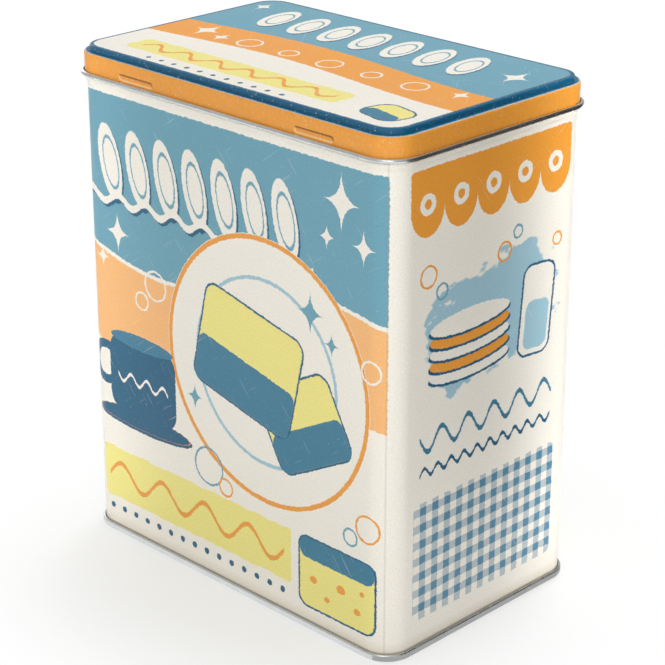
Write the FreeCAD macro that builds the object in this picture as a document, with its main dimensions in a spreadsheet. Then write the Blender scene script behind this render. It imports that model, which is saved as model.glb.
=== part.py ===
# A rectangular storage tin of printed tinplate with rounded corners and a lift-off lid, in millimetres.
# The origin is the middle of the face that the tin stands on, +X runs along the front and the front faces -Y.
# Three pieces: the wall with its neck and stop bead, the base that is seamed on from below, and the lid.
# Each piece is one sheet: its section is drawn as a strip with real bends and carried round the outline.
import FreeCAD
import Part
import Sketcher
import math
import os

SIZES = {
    # outside of the wall, seen from above, and the height of the closed tin
    "width": 140.0,
    "depth": 88.0,
    "overall": 171.0,
    "corner": 9.0,
    # the tinplate and the play between its layers in the base seam
    "plate": 0.28,
    "fold": 0.08,
    # base: height of the double seam, tips of the two hooks, depth of the recessed panel and its bend
    "seam": 2.5,
    "hook": 0.8,
    "recess": 3.9,
    "panelbend": 0.9,
    # wall: stop bead under the lid, its crest height below the lid's rim, and the neck with its curled mouth
    "bead": 0.6,
    "beadspan": 2.0,
    "beaddrop": 0.9,
    "neckin": 0.15,
    "mouthcurl": 0.9,
    # lid: play over the neck and above the mouth, raised top with its step, skirt and rolled rim
    "slip": 0.67,
    "seat": 0.3,
    "step": 1.8,
    "inset": 1.8,
    "topbend": 0.55,
    "ledgebend": 0.35,
    "skirtbend": 0.6,
    "skirt": 7.9,
    "rimcurl": 0.8,
    "rimlip": 0.2,
    # four pressed dashes on the lid's long sides that grip the neck
    "nibdepth": 0.36,
    "niblength": 16.0,
    "nibheight": 2.0,
    "nibplace": 39.5,
    "nibdrop": 4.9,
}


class Size:
    """A length with the expression that ties it to the sheet of sizes."""

    def __init__(self, value, text):
        self.value = value
        self.text = text

    def join(self, other, sign, result):
        return Size(result, "(%s %s %s)" % (self.text, sign, other.text))

    def __add__(self, other):
        other = size(other)
        return self.join(other, "+", self.value + other.value)

    def __sub__(self, other):
        other = size(other)
        return self.join(other, "-", self.value - other.value)

    def __mul__(self, other):
        other = size(other)
        return self.join(other, "*", self.value * other.value)

    def __truediv__(self, other):
        other = size(other)
        return self.join(other, "/", self.value / other.value)

    def __neg__(self):
        return size(0) - self


def size(number):
    """A plain number as a Size; a Size stays as it is."""
    return number if isinstance(number, Size) else Size(float(number), "%g" % number)


doc = FreeCAD.newDocument("StorageTin")
sheet = doc.addObject("Spreadsheet::Sheet", "Sizes")
for row, (alias, number) in enumerate(SIZES.items(), 1):
    sheet.set("A%d" % row, alias)
    sheet.set("B%d" % row, "%g" % number)
    sheet.setAlias("B%d" % row, alias)
doc.recompute()
S = {alias: Size(number, "Sizes." + alias) for alias, number in SIZES.items()}


class Strip:
    """The section of a bent sheet, followed along its middle line with headings right, up, left and down."""

    STEP = {"right": (1, 0), "up": (0, 1), "left": (-1, 0), "down": (0, -1)}
    LEFT_OF = {"right": "up", "up": "left", "left": "down", "down": "right"}
    RIGHT_OF = {"right": "down", "up": "right", "left": "up", "down": "left"}

    def __init__(self, x, z, heading, plate):
        self.x, self.z, self.heading, self.half = size(x), size(z), heading, plate / 2
        self.left, self.right = [], []
        self.mark(None, None)

    def shifted(self, along, across):
        """The middle point moved along the heading and across it, to the left."""
        (ax, az), (lx, lz) = self.STEP[self.heading], self.STEP[self.LEFT_OF[self.heading]]
        return (
            self.x + along * size(ax) + across * size(lx),
            self.z + along * size(az) + across * size(lz),
        )

    def mark(self, left_arc, right_arc):
        """Adds the two faces' points here, with the arcs (radius, turn) that lead to them."""
        self.left.append((*self.shifted(size(0), self.half), left_arc))
        self.right.append((*self.shifted(size(0), -self.half), right_arc))

    def run(self, length):
        self.x, self.z = self.shifted(size(length), size(0))
        self.mark(None, None)

    def bend(self, side, radius):
        """A quarter turn whose middle line has this radius."""
        inner, outer = radius - self.half, radius + self.half
        turn = 1 if side == "left" else -1
        self.x, self.z = self.shifted(radius, radius * turn)
        self.heading = (self.LEFT_OF if turn > 0 else self.RIGHT_OF)[self.heading]
        faces = (inner, outer) if turn > 0 else (outer, inner)
        self.mark((faces[0], turn), (faces[1], turn))

    def jog(self, side, across, along):
        """A smooth sidestep: two equal arcs that leave the heading as it was."""
        turn = 1 if side == "left" else -1
        squares = across * across + along * along
        radius = squares / (across * 4)
        slope_along = across * along * 2 / squares
        slope_across = (along * along - across * across) / squares
        inner, outer = radius - self.half, radius + self.half
        faces = (inner, outer) if turn > 0 else (outer, inner)
        middle = self.shifted(along / 2, across / 2 * turn)
        (ax, az), (lx, lz) = self.STEP[self.heading], self.STEP[self.LEFT_OF[self.heading]]
        for points, way in ((self.left, 1), (self.right, -1)):
            tilt = -slope_along * turn
            x = middle[0] + self.half * way * (tilt * ax + slope_across * lx)
            z = middle[1] + self.half * way * (tilt * az + slope_across * lz)
            points.append((x, z, (faces[0] if way > 0 else faces[1], turn)))
        self.x, self.z = self.shifted(along, across * turn)
        self.mark((faces[1], -turn), (faces[0], -turn))

    def outline(self):
        """The closed outline: out along the right face and back along the left one, as (x, z, arc to it)."""
        back = []
        for i in range(len(self.left) - 1, -1, -1):
            arc = None if i == len(self.left) - 1 else self.left[i + 1][2]
            back.append((*self.left[i][:2], arc and (arc[0], -arc[1])))
        return self.right + back


def plane(body, role):
    return next(f for f in body.Origin.OriginFeatures if f.Role == role)


def new_body(label):
    body = doc.addObject("PartDesign::Body", label)
    body.Label = label
    return body


def new_sketch(body, name, role, offset=None):
    """A sketch on one of the body's own planes, raised off it by a Size."""
    sketch = body.newObject("Sketcher::SketchObject", name)
    sketch.AttachmentSupport = [(plane(body, role), "")]
    sketch.MapMode = "FlatFace"
    if offset is not None:
        sketch.AttachmentOffset = FreeCAD.Placement(FreeCAD.Vector(0, 0, offset.value), FreeCAD.Rotation())
        sketch.setExpression("AttachmentOffset.Base.z", offset.text)
    return sketch


def draw(sketch, outline):
    """Draws a closed outline of lines and arcs and ties every point and radius to its size."""
    count = len(outline)
    first = sketch.GeometryCount
    ends = []
    for i in range(count):
        x0, z0 = (v.value for v in outline[i][:2])
        x1, z1 = (v.value for v in outline[(i + 1) % count][:2])
        arc = outline[(i + 1) % count][2]
        a, b = FreeCAD.Vector(x0, z0, 0), FreeCAD.Vector(x1, z1, 0)
        if arc is None:
            sketch.addGeometry(Part.LineSegment(a, b), False)
            ends.append((1, 2))
            continue
        radius, turn = arc[0].value, arc[1]
        half = (b - a) / 2
        rise = math.sqrt(max(radius**2 - half.Length**2, 0.0)) / half.Length * turn
        middle = a + half + FreeCAD.Vector(-half.y, half.x, 0) * rise
        start, stop = (a, b) if turn > 0 else (b, a)
        angles = [math.atan2(p.y - middle.y, p.x - middle.x) for p in (start, stop)]
        circle = Part.Circle(middle, FreeCAD.Vector(0, 0, 1), radius)
        sketch.addGeometry(Part.ArcOfCircle(circle, *angles), False)
        ends.append((1, 2) if turn > 0 else (2, 1))
    for i in range(count):
        this, before = first + i, first + (i - 1) % count
        sketch.addConstraint(Sketcher.Constraint("Coincident", before, ends[i - 1][1], this, ends[i][0]))
        for kind, value in (("DistanceX", outline[i][0]), ("DistanceY", outline[i][1])):
            tie(sketch, Sketcher.Constraint(kind, this, ends[i][0], value.value), value)
        arc = outline[(i + 1) % count][2]
        if arc is not None:
            tie(sketch, Sketcher.Constraint("Radius", this, arc[0].value), arc[0])


def tie(sketch, constraint, value):
    """Adds a constraint and binds it to its expression."""
    number = sketch.addConstraint(constraint)
    sketch.setExpression("Constraints[%d]" % number, value.text)


def rounded_rectangle(half_width, half_depth, radius):
    """A rounded rectangle that starts in the middle of its right side and runs anticlockwise."""
    x, y, r = half_width, half_depth, radius
    arc = (r, 1)
    return [
        (x, size(0), None),
        (x, y - r, None),
        (x - r, y, arc),
        (-x + r, y, None),
        (-x, y - r, arc),
        (-x, -y + r, None),
        (-x + r, -y, arc),
        (x - r, -y, None),
        (x, -y + r, arc),
    ]


HALF_WIDTH = S["width"] / 2
HALF_DEPTH = S["depth"] / 2


def ring(body, strip):
    """Carries a strip's section round the outline of the wall."""
    section = new_sketch(body, body.Label + "_section", "XZ_Plane")
    draw(section, strip.outline())
    path = new_sketch(body, body.Label + "_path", "XY_Plane")
    draw(path, rounded_rectangle(HALF_WIDTH, HALF_DEPTH, S["corner"]))
    doc.recompute()
    pipe = body.newObject("PartDesign::AdditivePipe", body.Label + "_sheet")
    pipe.Profile = section
    pipe.Spine = (path, ["Edge%d" % (i + 1) for i in range(path.GeometryCount)])
    pipe.Mode = "Standard"
    doc.recompute()
    return pipe


def panel(body, name, inward, bottom):
    """The flat panel that closes a ring: a plate whose edge lies this far inside the wall."""
    outline = new_sketch(body, name + "_outline", "XY_Plane", bottom)
    draw(outline, rounded_rectangle(HALF_WIDTH - inward, HALF_DEPTH - inward, S["corner"] - inward))
    pad = body.newObject("PartDesign::Pad", name)
    pad.Profile = outline
    pad.Length = S["plate"].value
    pad.setExpression("Length", S["plate"].text)
    doc.recompute()
    return pad


# Base: the sheet comes out of the recessed panel, runs down inside the wall, turns round under the seam,
# rises as the outer face of the seam and folds in over the wall hook. The turns of the seam share one middle.
PLATE = S["plate"]
LAYER = PLATE + S["fold"]
HOOK_FOLD = LAYER
OUTER_FOLD = HOOK_FOLD + LAYER
FOLD_X = HALF_WIDTH + LAYER - PLATE / 2
FOLD_Z = OUTER_FOLD + PLATE / 2
PANEL_LAP = S["panelbend"] * 3

base = new_body("base")
strip = Strip(FOLD_X - OUTER_FOLD - PANEL_LAP, S["recess"] + PLATE / 2, "right", PLATE)
strip.run(PANEL_LAP - S["panelbend"])
strip.bend("right", S["panelbend"])
strip.run(S["recess"] + PLATE / 2 - S["panelbend"] - FOLD_Z)
strip.bend("left", OUTER_FOLD)
strip.bend("left", OUTER_FOLD)
strip.run(S["seam"] - PLATE / 2 - HOOK_FOLD - FOLD_Z)
strip.bend("left", HOOK_FOLD)
strip.bend("left", HOOK_FOLD)
strip.run(S["hook"])
ring(base, strip)
panel(base, "base_panel", HALF_WIDTH - (FOLD_X - OUTER_FOLD - PANEL_LAP + S["panelbend"]), S["recess"])

# Lid levels: the ledge round the raised top, the skirt outside the neck and the rolled rim at its lower edge.
LEDGE = S["overall"] - S["step"]
NECK_X = HALF_WIDTH - S["neckin"]
SKIRT_X = NECK_X + S["slip"] + PLATE / 2
RIM_FOLD = S["rimcurl"] - PLATE / 2
RIM_Z = LEDGE - S["skirt"] + S["rimcurl"]
STEP_X = SKIRT_X + PLATE / 2 - S["inset"] - PLATE / 2

# Wall: from the tip of its hook in the base seam, round under it, up the side, out and in over the stop bead,
# up the neck and inward round the mouth.
body = new_body("body")
HOOK_TOP = FOLD_Z + S["hook"]
strip = Strip(FOLD_X + HOOK_FOLD, HOOK_TOP, "down", PLATE)
strip.run(HOOK_TOP - FOLD_Z)
strip.bend("right", HOOK_FOLD)
strip.bend("right", HOOK_FOLD)
BEAD_Z = RIM_Z - S["rimcurl"] - S["beaddrop"]
MOUTH_FOLD = S["mouthcurl"] - PLATE / 2
MOUTH_Z = LEDGE - PLATE - S["seat"] - S["mouthcurl"]
strip.run(BEAD_Z - S["beadspan"] - FOLD_Z)
strip.jog("right", S["bead"], S["beadspan"])
strip.jog("left", S["bead"] + S["neckin"], S["beadspan"])
strip.run(MOUTH_Z - BEAD_Z - S["beadspan"])
strip.bend("left", MOUTH_FOLD)
strip.bend("left", MOUTH_FOLD)
strip.bend("left", MOUTH_FOLD)
ring(body, strip)

# Lid: raised top, step, ledge, skirt and a rim rolled outward, with a small lip that points at the skirt.
lid = new_body("lid")
TOP_LAP = S["topbend"] * 3
strip = Strip(STEP_X - S["topbend"] - TOP_LAP, S["overall"] - PLATE / 2, "right", PLATE)
strip.run(TOP_LAP)
strip.bend("right", S["topbend"])
strip.run(S["step"] - S["topbend"] - S["ledgebend"])
strip.bend("left", S["ledgebend"])
strip.run(SKIRT_X - S["skirtbend"] - STEP_X - S["ledgebend"])
strip.bend("right", S["skirtbend"])
strip.run(LEDGE - PLATE / 2 - S["skirtbend"] - RIM_Z)
strip.bend("left", RIM_FOLD)
strip.bend("left", RIM_FOLD)
strip.bend("left", RIM_FOLD)
strip.run(S["rimlip"])
ring(lid, strip)
panel(lid, "lid_top", HALF_WIDTH - (STEP_X - S["topbend"] - TOP_LAP / 2), S["overall"] - PLATE)


def dashes(name, level, length, height):
    """Two dashes with round ends on the lid's front, parallel to X and this far in front of the middle."""
    sketch = new_sketch(lid, name + "_outline", "XZ_Plane", level)
    run, r, z = length / 2 - height / 2, height / 2, LEDGE - S["nibdrop"]
    for x in (S["nibplace"], -S["nibplace"]):
        outline = [
            (x - run, z - r, (r, 1)),
            (x + run, z - r, None),
            (x + run + r, z, (r, 1)),
            (x + run, z + r, (r, 1)),
            (x - run, z + r, None),
            (x - run - r, z, (r, 1)),
        ]
        draw(sketch, outline)
    return sketch


# Dashes pressed into the skirt on both long sides: a land on its inner face, a hollow in its outer face.
SKIRT_INSIDE = HALF_DEPTH - S["neckin"] + S["slip"]
land = lid.newObject("PartDesign::Pad", "nib_land")
LAND_LENGTH = S["niblength"] + PLATE * 2
LAND_HEIGHT = S["nibheight"] + PLATE * 2
land.Profile = dashes("nib_land", SKIRT_INSIDE + PLATE / 2, LAND_LENGTH, LAND_HEIGHT)
land.Reversed = True
tie_length = S["nibdepth"] + PLATE / 2
land.Length = tie_length.value
land.setExpression("Length", tie_length.text)
doc.recompute()
hollow = lid.newObject("PartDesign::Pocket", "nib_hollow")
hollow.Profile = dashes("nib_hollow", SKIRT_INSIDE + PLATE, S["niblength"], S["nibheight"])
hollow.Length = S["nibdepth"].value
hollow.setExpression("Length", S["nibdepth"].text)
doc.recompute()
both_sides = lid.newObject("PartDesign::Mirrored", "nib_mirror")
both_sides.Originals = [land, hollow]
both_sides.MirrorPlane = (plane(lid, "XZ_Plane"), [""])
lid.Tip = both_sides

doc.recompute()
for obj in doc.Objects:
    if {"Invalid", "Error"} & set(obj.State):
        raise RuntimeError("%s failed: %s" % (obj.Name, obj.State))
os.makedirs("parts", exist_ok=True)
for piece in (base, body, lid):
    shape = piece.Shape
    if shape.isNull() or not shape.isValid() or len(shape.Solids) != 1:
        raise RuntimeError("%s has no sound solid" % piece.Label)
for piece in (base, body, lid):
    piece.Shape.exportStep("parts/%s.step" % piece.Label)
    print("%s %.1f mm3" % (piece.Label, piece.Shape.Volume))
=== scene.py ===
import bpy
import numpy as np
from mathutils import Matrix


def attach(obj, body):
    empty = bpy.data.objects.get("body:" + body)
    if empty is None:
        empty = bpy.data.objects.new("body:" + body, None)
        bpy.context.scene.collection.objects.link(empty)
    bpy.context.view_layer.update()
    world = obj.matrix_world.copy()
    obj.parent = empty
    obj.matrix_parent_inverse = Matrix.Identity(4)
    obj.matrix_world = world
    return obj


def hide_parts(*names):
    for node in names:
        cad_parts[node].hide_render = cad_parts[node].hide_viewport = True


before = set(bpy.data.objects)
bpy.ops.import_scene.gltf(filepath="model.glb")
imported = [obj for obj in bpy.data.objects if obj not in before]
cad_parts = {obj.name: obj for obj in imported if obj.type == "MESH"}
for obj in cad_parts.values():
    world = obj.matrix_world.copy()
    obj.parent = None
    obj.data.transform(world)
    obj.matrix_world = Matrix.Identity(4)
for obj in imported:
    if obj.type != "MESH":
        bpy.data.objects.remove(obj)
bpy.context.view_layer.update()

# CAMERA
# The tin is seen from its front right corner, a little from above, through a long lens.
# The small shift keeps the upright edges closer to parallel, as in the photograph.
FOCAL_PIXELS = 2115.376
IMAGE_PIXELS = 665
camera = bpy.data.objects.new("camera", bpy.data.cameras.new("camera"))
bpy.context.collection.objects.link(camera)
camera.location = (0.453755, -0.455077, 0.344674)
camera.rotation_euler = np.radians((90 - 21.462, 0, 44.739))
camera.data.sensor_width = 36
camera.data.lens = camera.data.sensor_width * FOCAL_PIXELS / IMAGE_PIXELS
camera.data.shift_y = -0.06
bpy.context.scene.camera = camera

# BASE
# The bottom end is tinplate, bare outside and lacquered inside, stamped with a recessed panel. Its edge is
# rolled together with the wall's lower edge into a double seam of five layers, which the tin stands on.
PLATE = 0.28e-3
LAYER = PLATE + 0.08e-3  # plate and the play to the next layer of the seam
HALF = np.array((0.070, 0.044))
CORNER = 0.009
SEAM = 2.5e-3
HOOK = 0.8e-3
RECESS = 3.9e-3
PANEL_BEND = 0.9e-3
FOLD_X = LAYER - PLATE / 2
FOLD_Z = 2 * LAYER + PLATE / 2
CORNER_STEPS, SHORT_STEPS, LONG_STEPS = 32, 16, 24
BEND_STEPS, JOG_STEPS = 8, 6
EDGE_ROW = 1.2e-4  # width of the row of faces at each end of a straight run, which keeps the shading flat
QUARTER = np.pi / 2


def linear(code):
    """An sRGB hex colour as linear red, green, blue and alpha."""
    c = np.array([int(code[i : i + 2], 16) for i in (0, 2, 4)]) / 255
    return (*np.where(c > 0.04045, ((c + 0.055) / 1.055) ** 2.4, c / 12.92).tolist(), 1.0)


def node(tree, kind, inputs=(), out=0, **settings):
    """Adds a node with its settings, and its inputs as values or links. Gives one of its outputs."""
    made = tree.nodes.new("ShaderNode" + kind)
    for name, value in settings.items():
        setattr(made, name, value)
    for key, value in inputs.items() if isinstance(inputs, dict) else enumerate(inputs):
        if isinstance(value, bpy.types.NodeSocket):
            tree.links.new(value, made.inputs[key])
        else:
            made.inputs[key].default_value = value
    return made.outputs[out] if len(made.outputs) else made


def new_material(name):
    """An empty material and its node tree."""
    material = bpy.data.materials.new(name)
    material.use_nodes = True
    material.node_tree.nodes.clear()
    return material, material.node_tree


def outline(long_side):
    """The wall's outline as points, outward normals and running length, anticlockwise from the middle of
    the front right corner: corners are centre + radius (cos t, sin t), sides are straight runs that are
    cut at the given shares of their length."""
    inner = HALF - CORNER
    points, normals = [], []
    for k, (sx, sy) in enumerate([(1, -1), (1, 1), (-1, 1), (-1, -1), (1, -1)]):
        t = QUARTER * (k - 1 + np.linspace(0, 1, CORNER_STEPS + 1))
        middle = CORNER_STEPS // 2
        t = t[middle:] if k == 0 else t[: middle + 1] if k == 4 else t
        normals.append(np.stack([np.cos(t), np.sin(t)], 1))
        points.append(inner * (sx, sy) + CORNER * normals[-1])
    whole_p, whole_n = [points[0]], [normals[0]]
    short_side = np.linspace(0, 1, SHORT_STEPS + 1)
    for k, shares in enumerate([short_side, long_side, short_side, long_side]):
        f = shares[1:-1, None]
        whole_p += [points[k][-1] * (1 - f) + points[k + 1][0] * f, points[k + 1]]
        whole_n += [np.repeat(normals[k][-1:], len(f), 0), normals[k + 1]]
    p, n = np.concatenate(whole_p), np.concatenate(whole_n)
    length = np.r_[0, np.cumsum(np.hypot(*np.diff(p, axis=0).T))]
    return p[:-1], n[:-1], length


def strip(start, heading, moves):
    """Middle line of a bent sheet in (outward, up): straight runs, quarter turns r (cos t, sin t) and
    sidesteps of two equal arcs. Gives points and the normals to their left."""
    p, d = np.array(start, float), np.array(heading, float)
    points, lefts = [p[None]], [np.array([[-d[1], d[0]]])]
    for kind, *size in moves:
        left = np.array([-d[1], d[0]])
        if kind == "run":
            edge = min(EDGE_ROW, size[0] / 4)
            rows = np.linspace(edge, size[0] - edge, size[1] if size[1:] else 2)
            f = np.unique(np.r_[edge, rows, size[0]])
            points.append(p + f[:, None] * d)
            lefts.append(np.repeat(left[None], len(f), 0))
            p = p + size[0] * d
            continue
        if kind == "jog":
            across, along, turn = size
            radius, angle = (across**2 + along**2) / (4 * across), 2 * np.arctan(across / along)
            arcs = [(turn, angle), (-turn, angle)]
            steps = JOG_STEPS
        else:
            radius, turn = size
            arcs = [(turn, QUARTER)]
            steps = BEND_STEPS
        for turn, angle in arcs:
            left = np.array([-d[1], d[0]])
            t = np.linspace(0, angle, steps + 1)[1:, None]
            points.append(p + radius * (np.sin(t) * d + turn * (1 - np.cos(t)) * left))
            lefts.append(np.cos(t) * left - turn * np.sin(t) * d)
            p, d = points[-1][-1], np.cos(angle) * d + turn * np.sin(angle) * left
    return np.concatenate(points), np.concatenate(lefts)


def sheet_ring(name, line, printed, capped=False, press=None, long_side=None):
    """Carries a strip's two faces round the outline: x, y = outline + u * normal, z = height. Capped ends
    close the panel in its middle. printed(left, z) tells which rows carry the second material, and
    press(x, z) how far the sheet is pushed in. The map "sheet" holds the running length round the outline
    in millimetres, and OFBake lays the ring flat in two halves."""
    gap = 1e-3  # between the parts of the flat map
    centre, left = line
    loop = np.concatenate([centre + left * PLATE / 2, (centre - left * PLATE / 2)[::-1]])
    on_left = np.arange(len(loop)) < len(centre)
    p, n, length = outline(np.linspace(0, 1, LONG_STEPS + 1) if long_side is None else long_side)
    grid = np.zeros((len(loop), len(p), 3))
    grid[:, :, :2] = p[None] + loop[:, None, :1] * n[None]
    grid[:, :, 2] = loop[:, 1][:, None]
    if press:
        grid[:, :, :2] -= press(grid[:, :, 0], grid[:, :, 2])[:, :, None] * n[None]
    rings, around = grid.shape[:2]
    i, j = np.meshgrid(np.arange(rings - capped), np.arange(around), indexing="ij")
    up, on = (i + 1) % rings, (j + 1) % around
    quads = np.stack([i * around + j, up * around + j, up * around + on, i * around + on], -1).reshape(-1, 4)
    caps = [np.arange(around), np.arange(around)[::-1] + (rings - 1) * around] if capped else []
    mesh = bpy.data.meshes.new(name)
    mesh.from_pydata(grid.reshape(-1, 3), [], quads.tolist() + [c.tolist() for c in caps])
    mesh.polygons.foreach_set("use_smooth", np.ones(len(mesh.polygons), bool))
    inked = printed(on_left, loop[:, 1])
    inked &= np.roll(inked, -1)
    cap_inked = [inked[0], inked[-2]] if capped else []
    mesh.polygons.foreach_set("material_index", np.r_[inked[i].ravel(), cap_inked].astype("i4"))
    # bare rows take an eighth of their height on the map, because they carry no picture
    step = np.linalg.norm(np.diff(np.r_[loop, loop[:1]], axis=0), axis=1) * np.where(inked, 1, 0.125)
    height = np.r_[0, np.cumsum(step)]
    half = length[-1] / 2
    second = length[j] > half - 1e-6
    u0, u1 = length[j] - half * second, length[j + 1] - half * second
    v0, v1 = (height[k] + second * (height[-1] + gap) for k in (i, i + 1))
    flat = [np.stack([u0, v0, u0, v1, u1, v1, u1, v0], -1).reshape(-1, 2)]
    floor_v = 2 * (height[-1] + gap)
    for cap, ink in zip(caps, cap_inked):
        share = 1 if ink else 0.25
        corner = grid.reshape(-1, 3)[cap][:, :2] * share
        flat.append(corner - corner.min(0) + (0, floor_v))
        floor_v += np.ptp(corner[:, 1]) + gap
    flat = np.concatenate(flat)
    sheet = np.zeros(flat.shape, "f4")
    sheet[: quads.size, 0] = np.stack([length[j], length[j], length[j + 1], length[j + 1]], -1).ravel() * 1e3
    for title, values in (("OFBake", flat / (flat.max(0) * 1.002)), ("sheet", sheet)):
        mesh.uv_layers.new(name=title).data.foreach_set("uv", values.astype("f4").ravel())
    mesh.update()
    piece = bpy.data.objects.new(name, mesh)
    bpy.context.collection.objects.link(piece)
    return piece


def tinplate(name, tones, metallic, roughness):
    """Steel with a thin coat of tin: a soft mirror with clouds about 6 mm wide and fine rolling lines. The
    lines are 0.5 mm apart, coarser than real ones, which the picture could not show. A clear lacquer over
    the plate takes part of the mirror away, which is the share that isn't metallic."""
    material, tree = new_material(name)
    place = node(tree, "Mapping", {0: node(tree, "TexCoord", out=3), 3: (1e3, 1e3, 1e3)})
    cloud = node(tree, "TexNoise", {"Vector": place, "Scale": 0.16, "Detail": 3.0})
    lines = node(tree, "Mapping", {0: place, 3: (0.09, 0.09, 2.0)})
    rolling = node(tree, "TexNoise", {"Vector": lines, "Scale": 1.0, "Detail": 2.0})
    mix = {0: cloud, 6: linear(tones[0]), 7: linear(tones[1])}
    tone = node(tree, "Mix", mix, out=2, data_type="RGBA")
    dull = node(tree, "MapRange", {0: cloud, 1: 0.3, 2: 0.7, 3: roughness[0], 4: roughness[1]})
    relief = node(tree, "Bump", {"Strength": 0.06, "Distance": 0.00005, "Height": rolling})
    metal = {"Base Color": tone, "Metallic": metallic, "Roughness": dull, "Normal": relief}
    node(tree, "OutputMaterial", {0: node(tree, "BsdfPrincipled", metal)})
    return material


line = strip(
    (FOLD_X - 2 * LAYER - 3 * PANEL_BEND, RECESS + PLATE / 2),
    (1, 0),
    [
        ("run", 2 * PANEL_BEND),
        ("bend", PANEL_BEND, -1),
        ("run", RECESS + PLATE / 2 - PANEL_BEND - FOLD_Z),
        ("bend", 2 * LAYER, 1),
        ("bend", 2 * LAYER, 1),
        ("run", SEAM - PLATE / 2 - LAYER - FOLD_Z),
        ("bend", LAYER, 1),
        ("bend", LAYER, 1),
        ("run", HOOK),
    ],
)
base = sheet_ring("base_end", line, lambda left, z: left & (z > SEAM / 2), capped=True)
bare = tinplate("bright tinplate", ("D6DADA", "F0F2F2"), 1.0, (0.24, 0.30))
lacquered = tinplate("lacquered tinplate of the inside", ("D9DBD9", "E6E8E6"), 0.65, (0.34, 0.39))
base.data.materials.append(bare)
base.data.materials.append(lacquered)
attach(base, "tin")
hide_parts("base")

# WALL
# One sheet of tinplate, printed outside and lacquered inside, bent round and joined at the front right
# corner. Under the lid it swells into a stop bead, then rises as the neck and curls inward at the mouth.
TOP = 0.171
STEP = 1.8e-3
LEDGE = TOP - STEP
SKIRT = 7.9e-3
RIM_CURL = 0.8e-3
RIM_Z = LEDGE - SKIRT + RIM_CURL
BEAD, BEAD_SPAN, BEAD_DROP = 0.6e-3, 2e-3, 0.9e-3
BEAD_Z = RIM_Z - RIM_CURL - BEAD_DROP
NECK_IN = 0.15e-3
SEAT = 0.3e-3
MOUTH_CURL = 0.9e-3
MOUTH_BEND = MOUTH_CURL - PLATE / 2
MOUTH_Z = LEDGE - PLATE - SEAT - MOUTH_CURL
PRINT_END = 0.1622  # the print ends at this height, behind the lid's rolled edge
# half the wall's running length in millimetres, and on the sheet the middles of a long and a narrow side
HALF_ROUND = (2 * HALF.sum() - 4 * CORNER + np.pi * CORNER) * 1e3
LONG_MIDDLE = 152.2
SIDE = -110.13
CREAM, BLUE, PALE, DARK = "F1ECE1", "69A0B3", "9FC4D2", "105B7D"
ORANGE, PEACH, YELLOW, MIDBLUE = "EC9E3C", "F4B877", "EFE488", "387A96"


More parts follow.
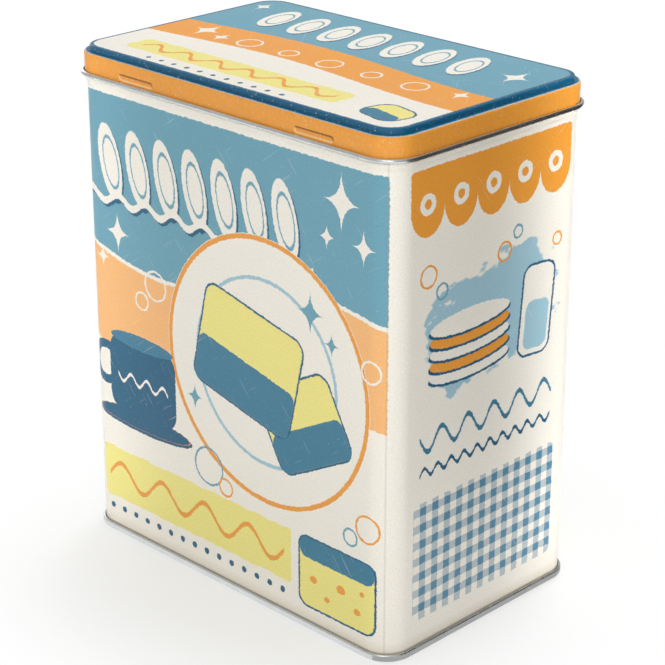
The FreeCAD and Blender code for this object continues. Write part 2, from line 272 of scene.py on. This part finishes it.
class Print:
    """Flat artwork in millimetres, built ink by ink. Each shape gives the distance to its edge, which is
    less than 0 inside; place is where it looks, by default the sheet with slightly worn edges."""

    def __init__(self, tree, flat):
        self.tree, self.flat, self.colour = tree, flat, linear(CREAM)
        self.worn = self.moved(flat, 0.9, 0.9)

    def math(self, operation, *inputs, clamp=False):
        return node(self.tree, "Math", inputs, operation=operation, use_clamp=clamp)

    def moved(self, place, scale, amount, stretch=(1, 1, 1)):
        """The same place moved about by noise, so that edges look rough."""
        finer = node(self.tree, "Mapping", {0: place, 3: stretch})
        noise = node(self.tree, "TexNoise", {"Vector": finer, "Scale": scale, "Detail": 3.0}, out=1)
        noise = node(self.tree, "VectorMath", {0: noise, 1: (0.5, 0.5, 0.5)}, operation="SUBTRACT")
        noise = node(self.tree, "VectorMath", {0: noise, 1: (amount, amount, 0)}, operation="MULTIPLY")
        return node(self.tree, "VectorMath", {0: place, 1: noise}, operation="ADD")

    def local(self, x, z, turn=0.0, stretch=(1, 1, 1), place=None):
        """The place as seen from a shape's own middle, turn and stretch."""
        inputs = {0: place or self.worn, 1: (x, z, 0), 2: (0, 0, np.radians(turn)), 3: stretch}
        return node(self.tree, "Mapping", inputs, vector_type="TEXTURE")

    def row(self, x, z, pitch, count):
        """A place that repeats from cell to cell: x - pitch * round(x / pitch), for count cells."""
        local = self.local(x, z)
        along = node(self.tree, "SeparateXYZ", {0: local})
        cell = self.math("ROUND", self.math("MULTIPLY_ADD", along, 1 / pitch, (count % 2 - 1) / 2))
        last = count // 2
        cell = self.math("MAXIMUM", self.math("MINIMUM", cell, last - 1 + count % 2), -last)
        along = self.math("MULTIPLY_ADD", cell, -pitch, along)
        if count % 2 == 0:
            along = self.math("SUBTRACT", along, pitch / 2)
        up = node(self.tree, "SeparateXYZ", {0: local}, out=1)
        return node(self.tree, "CombineXYZ", (along, up))

    def box(self, x, z, half_x, half_z, radius=0.1, turn=0.0, place=None):
        """A rounded box: length(max(|p| - half + r, 0)) - r."""
        apart = node(self.tree, "VectorMath", {0: self.local(x, z, turn, place=place)}, operation="ABSOLUTE")
        half = (half_x - radius, half_z - radius, 0)
        apart = node(self.tree, "VectorMath", {0: apart, 1: half}, operation="SUBTRACT")
        apart = node(self.tree, "VectorMath", {0: apart, 1: (0, 0, 0)}, operation="MAXIMUM")
        far = node(self.tree, "VectorMath", {0: apart}, out=1, operation="LENGTH")
        return self.math("SUBTRACT", far, radius)

    def disc(self, x, z, radius, squash=1.0, turn=0.0, place=None):
        """|p| - r, with the height squashed for an ellipse."""
        local = self.local(x, z, turn, (1, squash, 1), place)
        far = node(self.tree, "VectorMath", {0: local}, out=1, operation="LENGTH")
        return self.math("SUBTRACT", far, radius)

    def wave(self, x, z, half, rise, period):
        """|z - rise sin(2 pi x / period)|, cut off at half the length to each side."""
        local = self.local(x, z)
        along = node(self.tree, "SeparateXYZ", {0: local})
        up = node(self.tree, "SeparateXYZ", {0: local}, out=1)
        swing = self.math("SINE", self.math("MULTIPLY", along, 2 * np.pi / period))
        far = self.math("ABSOLUTE", self.math("MULTIPLY_ADD", swing, -rise, up))
        return self.math("MAXIMUM", far, self.math("SUBTRACT", self.math("ABSOLUTE", along), half))

    def sparkle(self, x, z, size):
        """Four points: 2 (sqrt |x| + sqrt |z| - sqrt size)."""
        local = self.local(x, z, stretch=(1, 1.25, 1))
        apart = node(self.tree, "VectorMath", {0: local}, operation="ABSOLUTE")
        apart = node(self.tree, "VectorMath", {0: apart, 1: (0.5, 0.5, 1)}, operation="POWER")
        total = node(self.tree, "VectorMath", {0: apart, 1: (1, 1, 0)}, out=1, operation="DOT_PRODUCT")
        return self.math("MULTIPLY_ADD", total, 2.0, -2.0 * size**0.5)

    def cover(self, far, reach=0.0, soft=0.16):
        """1 where the distance is less than reach and 0 beyond it."""
        return self.math("MULTIPLY_ADD", far, -1 / soft, 0.5 + reach / soft, clamp=True)

    def ink(self, colour, cover):
        """Lays an ink over the colours so far, by its cover from 0 to 1."""
        mix = {0: cover, 6: self.colour, 7: linear(colour)}
        self.colour = node(self.tree, "Mix", mix, out=2, data_type="RGBA")

    def lay(self, colour, far, reach=0.0, soft=0.16):
        """Fills a shape with an ink."""
        self.ink(colour, self.cover(far, reach, soft))

    def edge(self, colour, far, width):
        """A line along the edge of a shape."""
        self.lay(colour, self.math("ABSOLUTE", far), width / 2)

    def fields(self, waves, rise, length, phase, stops):
        """Bands of flat colour with a swelling edge: rise sin(2 pi x / length + phase) is added to the
        height, and each stop is the height at which a colour starts."""
        x = node(self.tree, "SeparateXYZ", {0: waves})
        z = node(self.tree, "SeparateXYZ", {0: waves}, out=1)
        turn = self.math("SINE", self.math("MULTIPLY_ADD", x, 2 * np.pi / length, phase))
        level = self.math("MULTIPLY_ADD", turn, rise, z)
        for start, colour in stops:
            self.lay(colour, self.math("MULTIPLY", level, -1.0), -start)

    def tablet(self, x, z, half, turn):
        """A pressed tablet of a yellow and a blue layer with a dark outline, seen from the side."""
        r = np.radians(turn)
        low = (x + half * 0.42 * np.sin(r), z - half * 0.42 * np.cos(r))
        self.lay(DARK, self.box(x, z, half + 0.7, half * 0.8 + 0.7, 5, turn))
        self.lay(YELLOW, self.box(x, z, half, half * 0.8, 4.4, turn))
        self.lay(MIDBLUE, self.box(*low, half, half * 0.38, 3, turn))

    def finish(self):
        """Offset print under a satin varnish, which gives soft highlights: fine grain, pale flecks of
        about 1 mm where the ink missed, and a few scratches some 16 mm long. The grain is 0.6 mm, coarser
        than real dots, to show at all."""
        tree, place = self.tree, self.flat
        grain = node(tree, "TexNoise", {"Vector": place, "Scale": 1.7, "Detail": 2.0, "Roughness": 0.7})
        tone = node(tree, "MapRange", {0: grain, 1: 0.25, 2: 0.75, 3: 0.90, 4: 1.06})
        grey = node(tree, "CombineColor", (tone, tone, tone))
        mix = {0: 1.0, 6: self.colour, 7: grey}
        self.colour = node(tree, "Mix", mix, out=2, data_type="RGBA", blend_type="MULTIPLY")
        fleck = node(tree, "TexNoise", {"Vector": place, "Scale": 1.1, "Detail": 4.0, "Roughness": 0.8})
        self.ink(CREAM, node(tree, "MapRange", {0: fleck, 1: 0.62, 2: 0.72, 3: 0.0, 4: 0.5}))
        for turn in (35, -52):
            inputs = {0: place, 2: (0, 0, np.radians(turn)), 3: (16, 0.45, 1)}
            scratch = node(tree, "Mapping", inputs, vector_type="TEXTURE")
            scratch = node(tree, "TexNoise", {"Vector": scratch, "Scale": 1.0, "Detail": 1.0})
            self.ink(CREAM, node(tree, "MapRange", {0: scratch, 1: 0.71, 2: 0.77, 3: 0.0, 4: 0.3}))
        uneven = node(tree, "TexNoise", {"Vector": place, "Scale": 0.05, "Detail": 2.0})
        gloss = node(tree, "MapRange", {0: uneven, 1: 0.3, 2: 0.7, 3: 0.34, 4: 0.42})
        relief = node(tree, "Bump", {"Strength": 0.05, "Distance": 0.00008, "Height": uneven})
        paint = {"Base Color": self.colour, "Roughness": gloss, "Normal": relief}
        node(tree, "OutputMaterial", {0: node(tree, "BsdfPrincipled", paint)})


def wall_print():
    """The wall's print, laid out flat: x runs along the sheet with 0 in the middle of a long side and
    SIDE in the middle of the narrow side before it, z is height. Both halves of the wall are alike."""
    material, tree = new_material("printed tinplate of the wall")
    around = node(tree, "SeparateXYZ", {0: node(tree, "UVMap", uv_map="sheet")})
    along = node(tree, "Math", (around, HALF_ROUND), operation="FLOORED_MODULO")
    along = node(tree, "Math", (along, LONG_MIDDLE), operation="SUBTRACT")
    place = node(tree, "TexCoord", out=3)
    height = node(tree, "Math", (node(tree, "SeparateXYZ", {0: place}, out=2), 1e3), operation="MULTIPLY")
    art = Print(tree, node(tree, "CombineXYZ", (along, height)))
    # orange and blue fields inside a cream margin
    swell = art.moved(art.flat, 0.9, 1.2)
    art.fields(swell, 7.0, 150, 2.9, [(73, PEACH), (106, CREAM), (107.4, BLUE)])
    art.lay(CREAM, art.math("MULTIPLY", art.box(0.5, 70, 67, 87.3, 1.5, place=swell), -1.0))
    # plates in a rack on the blue field
    cells = art.row(-14, 134.5, 13.5, 7)
    art.lay(DARK, art.disc(0.8, -0.8, 5.2, 2.5, 12, cells))
    art.lay(CREAM, art.disc(0, 0, 5.2, 2.5, 12, cells))
    art.edge(BLUE, art.disc(0.4, 0, 3.4, 2.5, 12, cells), 0.5)
    art.lay(DARK, art.wave(-13, 121.6, 51, 1.6, 13.5), 1.3)
    art.lay(CREAM, art.wave(-14, 122.4, 51, 1.6, 13.5), 1.3)
    # a large plate with two tablets on it
    art.lay(CREAM, art.disc(17, 82, 45))
    art.edge(ORANGE, art.disc(17, 82, 44), 1.6)
    art.edge(PALE, art.disc(17, 82, 31), 1.2)
    art.tablet(34, 70, 17, 28)
    art.tablet(9, 84, 22, -13)
    # a cup and saucer
    art.lay(DARK, art.disc(-42, 45.5, 24, 0.16))
    art.edge(ORANGE, art.disc(-42, 46, 23, 0.14), 0.5)
    art.edge(DARK, art.disc(-60.5, 63, 6.4), 3.2)
    art.lay(DARK, art.box(-42, 61, 16.5, 14, 6.5))
    art.lay(MIDBLUE, art.disc(-42, 74.3, 15.5, 0.17))
    art.lay(CREAM, art.wave(-42, 60, 12, 1.7, 8), 0.6)
    # sparkles and bubbles
    for x, z, size in ((50, 146, 8), (59, 134, 5), (44, 134, 3.5), (-52, 111, 6), (-60, 101, 3.5)):
        art.lay(CREAM, art.sparkle(x, z, size))
    for x, z, size in ((37, 108, 6), (46, 100, 3.5), (-16, 64, 4)):
        art.lay(BLUE, art.sparkle(x, z, size))
    for x, z, size, ink in (
        (-34, 97, 5, CREAM),
        (-41, 90, 3, CREAM),
        (61, 44, 4.5, ORANGE),
        (54, 39, 2.8, BLUE),
        (-10, 41, 6.5, BLUE),
        (-2, 36, 3, ORANGE),
        (62, 96, 3.5, CREAM),
    ):
        art.edge(ink, art.disc(x, z, size), 0.7)
    # a yellow cloth and a sponge
    cloth = art.moved(art.flat, 0.5, 2.2, (0.5, 1, 1))
    art.lay(YELLOW, art.box(-18, 22.5, 46, 9.5, 1, place=cloth))
    art.lay(ORANGE, art.wave(-18, 22.5, 42, 4.0, 21), 0.9)
    art.lay(DARK, art.disc(0, 0, 1.1, place=art.row(-18, 9.3, 6, 15)))
    art.lay(DARK, art.box(48, 20, 16.7, 12.7, 4))
    art.lay(YELLOW, art.box(48, 20, 16, 12, 3.4))
    art.lay(MIDBLUE, art.box(48, 28.5, 16, 3.6, 3))
    for x, z, size in ((38, 18, 1.6), (44, 13, 1.2), (50, 19, 1.9), (57, 14, 1.4), (59, 21, 1.0)):
        art.lay(ORANGE, art.disc(x, z, size, 0.8))
    # narrow side: an awning, a pale wash with plates and a glass, waves, and a checked cloth
    art.lay(ORANGE, art.box(SIDE, 151.5, 36, 6, 1, place=swell))
    art.lay(ORANGE, art.disc(0, 0, 7.2, 1.25, place=art.row(SIDE, 145.5, 14.4, 5)))
    art.lay(CREAM, art.disc(0, 0, 3.4, place=art.row(SIDE, 146.5, 14.4, 5)))
    art.lay(ORANGE, art.disc(0, 0, 1.5, place=art.row(SIDE, 146.5, 14.4, 5)))
    wash = art.moved(art.flat, 0.12, 22.0, (1, 1.4, 1))
    art.lay(PALE, art.box(SIDE + 1, 104, 27, 17, 9, 14, wash), soft=1.2)
    for k in range(5):
        art.lay(DARK, art.disc(SIDE - 9, 90 + 3.8 * k, 18.6, 0.2))
        art.lay(ORANGE if k % 2 else CREAM, art.disc(SIDE - 9, 90.7 + 3.8 * k, 18.0, 0.2))
    art.lay(CREAM, art.disc(SIDE - 9, 106.2, 11.5, 0.18))
    glass = art.box(SIDE + 22, 100, 7.5, 15, 4, -5)
    art.lay(CREAM, glass)
    art.edge(DARK, glass, 0.8)
    art.lay(PALE, art.box(SIDE + 22, 95, 5.6, 8, 3, -5))
    for x, z, size, ink in (
        (6, 123, 3, ORANGE),
        (12, 128, 2, BLUE),
        (-22, 118, 2.4, BLUE),
        (-28, 124, 3.4, ORANGE),
        (31, 121, 2, ORANGE),
    ):
        art.edge(ink, art.disc(SIDE + x, z, size), 0.7)
    art.lay(MIDBLUE, art.wave(SIDE, 71, 30, 3.4, 12), 0.9)
    art.lay(DARK, art.wave(SIDE, 61, 30, 1.4, 6), 0.7)
    worn_check = node(tree, "Mapping", {0: art.worn, 3: (1 / 5.5, 1 / 5.5, 1)})
    check = node(tree, "VectorMath", {0: worn_check}, operation="FRACTION")
    check = node(tree, "VectorMath", {0: check, 1: (0.5, 0.5, 0)}, operation="SUBTRACT")
    check = node(tree, "VectorMath", {0: check}, operation="SIGN")
    check = node(tree, "VectorMath", {0: check, 1: (0.25, 0.25, 0)}, out=1, operation="DOT_PRODUCT")
    cloth = art.cover(art.box(SIDE, 31, 33, 20, 2))
    art.ink("4F86A3", art.math("MULTIPLY", art.math("ADD", check, 0.5), cloth))
    # painted shade above the base seam: the cream darkens to tan over the lowest few millimetres
    art.ink("C6B795", node(tree, "MapRange", {0: height, 1: 2.8, 2: 6.5, 3: 0.36, 4: 0.0}))
    # a dark painted shadow line where the seam's top roll meets the wall
    art.ink("6A6252", node(tree, "MapRange", {0: height, 1: 2.6, 2: 3.1, 3: 0.5, 4: 0.0}))
    # the joint: a hairline groove, darker than the print beside it
    joint = art.math("ABSOLUTE", art.math("SUBTRACT", around, 2 * HALF_ROUND - 0.9))
    art.ink("9A9284", art.math("MULTIPLY", art.cover(joint, 0.25, 0.4), 0.25))
    art.finish()
    return material


line = strip(
    (FOLD_X + LAYER, FOLD_Z + HOOK),
    (0, -1),
    [
        ("run", HOOK),
        ("bend", LAYER, -1),
        ("bend", LAYER, -1),
        ("run", BEAD_Z - BEAD_SPAN - FOLD_Z, 20),
        ("jog", BEAD, BEAD_SPAN, -1),
        ("jog", BEAD + NECK_IN, BEAD_SPAN, 1),
        ("run", MOUTH_Z - BEAD_Z - BEAD_SPAN, 6),
        *3 * [("bend", MOUTH_BEND, 1)],
    ],
)
wall = sheet_ring("wall", line, lambda left, z: ~left & (z < PRINT_END))
wall.data.materials.append(lacquered)
wall.data.materials.append(wall_print())
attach(wall, "tin")
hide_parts("body")

# LID
# Drawn from one printed sheet: raised top, step, ledge and skirt, with the cut edge rolled outward.
# Two dashes are pressed into the skirt on each long side, so that it grips the neck.
SLIP = 0.67e-3
INSET = 1.8e-3
SKIRT_X = SLIP - NECK_IN + PLATE / 2
STEP_X = SKIRT_X - INSET
TOP_BEND, LEDGE_BEND, SKIRT_BEND = 0.55e-3, 0.35e-3, 0.6e-3
RIM_BEND = RIM_CURL - PLATE / 2
RIM_LIP = 0.2e-3
DASH_X = 0.0395
DASH_Z = LEDGE - 4.9e-3
DASH_HALF = 7e-3
DASH_RADIUS = 1.25e-3
DASH_DEPTH = 0.36e-3
DASH_REACH = 9e-3  # the skirt is cut finely this far to each side of a dash's middle


def pressed(x, z):
    """Depth of the dashes, round grooves: depth * max(1 - (d / r)^2, 0), where d is the distance from a
    line 14 mm long in the dash's middle."""
    past = np.maximum(np.abs(np.abs(x) - DASH_X) - DASH_HALF, 0)
    far = np.hypot(past, z - DASH_Z) / DASH_RADIUS
    return DASH_DEPTH * np.maximum(1 - far**2, 0)


def lid_print():
    """The lid's print: the level, which is the distance outside the wall plus the depth below the top,
    sets the bands, so the step is dark blue, the ledge fades to pale blue and the skirt is orange."""
    material, tree = new_material("printed tinplate of the lid")
    place = node(tree, "Mapping", {0: node(tree, "TexCoord", out=3), 3: (1e3, 1e3, 1e3)})
    height = node(tree, "SeparateXYZ", {0: place}, out=2)
    flat = node(tree, "VectorMath", {0: place, 1: (1, 1, 0)}, operation="MULTIPLY")
    art = Print(tree, flat)
    swell = art.moved(flat, 0.9, 0.9)
    art.fields(swell, 3.0, 150, 5.2, [(-13, ORANGE), (5, BLUE)])
    cells = art.row(-4, 24, 14, 7)
    art.lay(DARK, art.disc(0.8, -0.8, 5.0, 2.2, 12, cells))
    art.lay(CREAM, art.disc(0, 0, 5.0, 2.2, 12, cells))
    art.edge(BLUE, art.disc(0.4, 0, 3.2, 2.2, 12, cells), 0.5)
    for x, y, size in ((-52, -3, 6), (-42, -6, 4), (58, -2, 4), (57, 24, 6), (-62, 32, 4)):
        art.lay(CREAM, art.sparkle(x, y, size))
    for x in (-30, -12, 6, 24, 42):
        art.edge(CREAM, art.disc(x, -4.5, 3.2 + (x % 4) * 0.5), 0.7)
    cloth = art.moved(flat, 0.5, 2.2, (0.5, 1, 1))
    art.lay(YELLOW, art.box(-10, -29, 47, 5.6, 3, place=cloth))
    art.lay(ORANGE, art.wave(-10, -29, 42, 2.6, 14), 0.8)
    art.lay(DARK, art.disc(0, 0, 0.9, place=art.row(-10, -38.6, 6, 11)))
    art.tablet(55, -30, 7.5, -12)
    # step, ledge and skirt, with a rough change from dark to pale blue
    outside = art.box(0, 0, *(HALF * 1e3), CORNER * 1e3, place=flat)
    level = art.math("ADD", art.math("SUBTRACT", outside, height), TOP * 1e3)
    rough = node(tree, "TexNoise", {"Vector": place, "Scale": 1.1, "Detail": 4.0, "Roughness": 0.7})
    rough = art.math("MULTIPLY_ADD", rough, 1.4, -0.7)
    ragged = art.math("ADD", level, rough)
    art.lay(DARK, art.math("MULTIPLY", ragged, -1.0), 2.5, 0.3)
    art.ink("9CC2D3", node(tree, "MapRange", {0: ragged, 1: 1.7, 2: 2.4, 3: 0.0, 4: 1.0}))
    art.lay(ORANGE, art.math("MULTIPLY", ragged, -1.0), -2.45, 0.4)
    # painted shade along the dashes' upper edges and a painted highlight along their lower edges, as light
    # falls on the pressed grooves
    across = node(tree, "CombineXYZ", (node(tree, "SeparateXYZ", {0: place}), height))
    dash = (8.1, 1.1, 1.0)
    for x in (-DASH_X * 1e3, DASH_X * 1e3):
        within = art.cover(art.box(x, DASH_Z * 1e3, *dash, place=across))
        for dx, dz, ink, strength in ((-0.35, -0.6, "5A3312", 0.8), (0.3, 0.55, "FBD9A8", 0.6)):
            moved = art.cover(art.box(x + dx, DASH_Z * 1e3 + dz, *dash, place=across), 0, 0.5)
            painted_shade_and_highlight = art.math("MULTIPLY", within, art.math("SUBTRACT", 1.0, moved))
            art.ink(ink, art.math("MULTIPLY", painted_shade_and_highlight, strength))
    # painted shade: a dark line along the skirt's foot, where it bends into the rolled edge
    low = RIM_Z * 1e3
    art.ink("4A3420", node(tree, "MapRange", {0: height, 1: low, 2: low + 0.6, 3: 0.75, 4: 0.0}))
    art.flat = place
    art.finish()
    return material


line = strip(
    (STEP_X - 4 * TOP_BEND, TOP - PLATE / 2),
    (1, 0),
    [
        ("run", 3 * TOP_BEND),
        ("bend", TOP_BEND, -1),
        ("run", STEP - TOP_BEND - LEDGE_BEND),
        ("bend", LEDGE_BEND, 1),
        ("run", SKIRT_X - SKIRT_BEND - STEP_X - LEDGE_BEND),
        ("bend", SKIRT_BEND, -1),
        ("run", LEDGE - PLATE / 2 - SKIRT_BEND - RIM_Z, 42),
        *3 * [("bend", RIM_BEND, 1)],
        ("run", RIM_LIP),
    ],
)
# long sides are cut finely round the four dashes
near = np.linspace(-DASH_REACH, DASH_REACH, 46)
straight = 2 * (HALF[0] - CORNER)
shares = [0.5 + (near + x) / straight for x in (-DASH_X, DASH_X)]
shares = np.unique(np.r_[np.linspace(0, 1, LONG_STEPS + 1), *shares].round(5))
lid = sheet_ring("lid_sheet", line, lambda left, z: left, True, pressed, shares)
lid.data.materials.append(bare)
lid.data.materials.append(lid_print())
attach(lid, "lid")
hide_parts("lid")

# FLOOR AND LIGHT
# A matt white board whose far parts fade into the white surround and whose shade is thinned for the
# camera, an even sky and soft lamps all round. Gridded strip lamps brighten the narrow side's far end and
# the front's left end, and cards darken or brighten the metal edges.
floor_mesh = bpy.data.meshes.new("floor")
floor_mesh.from_pydata([(-3, -3, 0), (3, -3, 0), (3, 3, 0), (-3, 3, 0)], [], [(0, 1, 2, 3)])
floor = bpy.data.objects.new("floor", floor_mesh)
bpy.context.collection.objects.link(floor)
material, tree = new_material("matt white board")
board = node(tree, "BsdfDiffuse", {0: linear("F8F8F6")})
glow = node(tree, "Emission", {0: (1, 1, 1, 1), 1: 1.0})
apart = node(tree, "VectorMath", {0: node(tree, "TexCoord", out=3)}, out=1, operation="LENGTH")
# the camera sees 0.45 of the white close to the tin and all of it from 0.13 m on
fade = node(tree, "MapRange", {0: apart, 1: 0.05, 2: 0.13, 3: 0.45}, interpolation_type="SMOOTHSTEP")
fade = node(tree, "Math", (fade, node(tree, "LightPath")), operation="MULTIPLY")
node(tree, "OutputMaterial", {0: node(tree, "MixShader", (fade, board, glow))})
floor_mesh.materials.append(material)

# the sky: white to the camera, and dimmer in reflections and as light
world = bpy.data.worlds.new("world")
bpy.context.scene.world = world
world.use_nodes = True
tree = world.node_tree
tree.nodes.clear()
camera_ray, glossy_ray = (node(tree, "LightPath", out=k) for k in (0, 3))
strength = node(tree, "MapRange", {0: glossy_ray, 3: 0.25, 4: 0.5})
strength = node(tree, "Math", (strength, camera_ray), operation="MAXIMUM")
node(tree, "OutputWorld", {0: node(tree, "Background", {0: (1, 1, 1, 1), 1: strength})})


def card(name, shader, corners, reflected_only=False):
    """A card out of the camera's sight, which shows in reflections and by its shade."""
    sheet = bpy.data.meshes.new(name)
    sheet.from_pydata(corners, [], [(0, 1, 2, 3)])
    material, tree = new_material(name)
    node(tree, "OutputMaterial", {0: node(tree, *shader)})
    sheet.materials.append(material)
    screen = bpy.data.objects.new(name, sheet)
    screen.visible_camera = False
    screen.visible_diffuse = screen.visible_shadow = not reflected_only
    bpy.context.collection.objects.link(screen)


dark = ("BsdfDiffuse", {0: linear("585858")})
card("card_behind", dark, [(0.45, -0.02, 0), (0.06, 0.50, 0), (0.06, 0.50, 0.6), (0.45, -0.02, 0.6)])
card("card_right", dark, [(0.14, 0.0, 4e-4), (0.45, -0.02, 4e-4), (0.06, 0.50, 4e-4), (0.06, 0.16, 4e-4)])
for name, glow, (x0, y0), (x1, y1) in (
    ("card_seam", 0.45, (0.064, -0.06), (0.085, 0.08)),
    ("card_front", 0.85, (-0.10, -0.056), (0.064, -0.040)),
):
    corners = [(x0, y0, 1e-4), (x1, y0, 1e-4), (x1, y1, 1e-4), (x0, y1, 1e-4)]
    card(name, ("Emission", {0: (1, 1, 1, 1), 1: glow}), corners, True)


def softbox(name, place, aim, size, power, spread=180, reflected=True):
    """A rectangular lamp, width by height, that faces the point it lights. A grid narrows its spread."""
    lamp = bpy.data.objects.new(name, bpy.data.lights.new(name, "AREA"))
    lamp.data.shape = "RECTANGLE"
    lamp.data.size, lamp.data.size_y = size
    lamp.data.energy = power
    lamp.data.spread = np.radians(spread)
    away = np.array(place) - np.array(aim)
    lamp.location = place
    lamp.rotation_euler = (np.arctan2(np.hypot(*away[:2]), away[2]), 0, np.arctan2(away[0], -away[1]))
    lamp.visible_camera = False
    lamp.visible_glossy = reflected
    bpy.context.collection.objects.link(lamp)


middle = (0, 0, 0.08)
softbox("high", (0.5, -0.75, 0.85), middle, (0.6, 0.6), 2.0)
softbox("right", (0.8, -0.65, 0.5), middle, (0.4, 0.4), 5.1, reflected=False)
softbox("back", (-0.1, 0.5, 0.9), (0, 0, 0.10), (0.6, 0.6), 6.8, reflected=False)
softbox("front_left", (-0.55, -0.5, 0.35), (-0.07, -0.04, 0.09), (0.3, 0.3), 0.6, reflected=False)
softbox("left", (-1.0, 0.3, 0.4), middle, (0.5, 0.5), 1.0)
for name, place, aim, power in (
    ("strip_right", (0.27, 0.10, 0.09), (0.07, 0.045, 0.09), 0.038),
    ("strip_left", (-0.13, -0.25, 0.09), (-0.07, -0.044, 0.09), 0.014),
):
    softbox(name, place, aim, (0.03, 0.34), power, spread=20, reflected=False)

bpy.context.scene.view_settings.view_transform = "Standard"
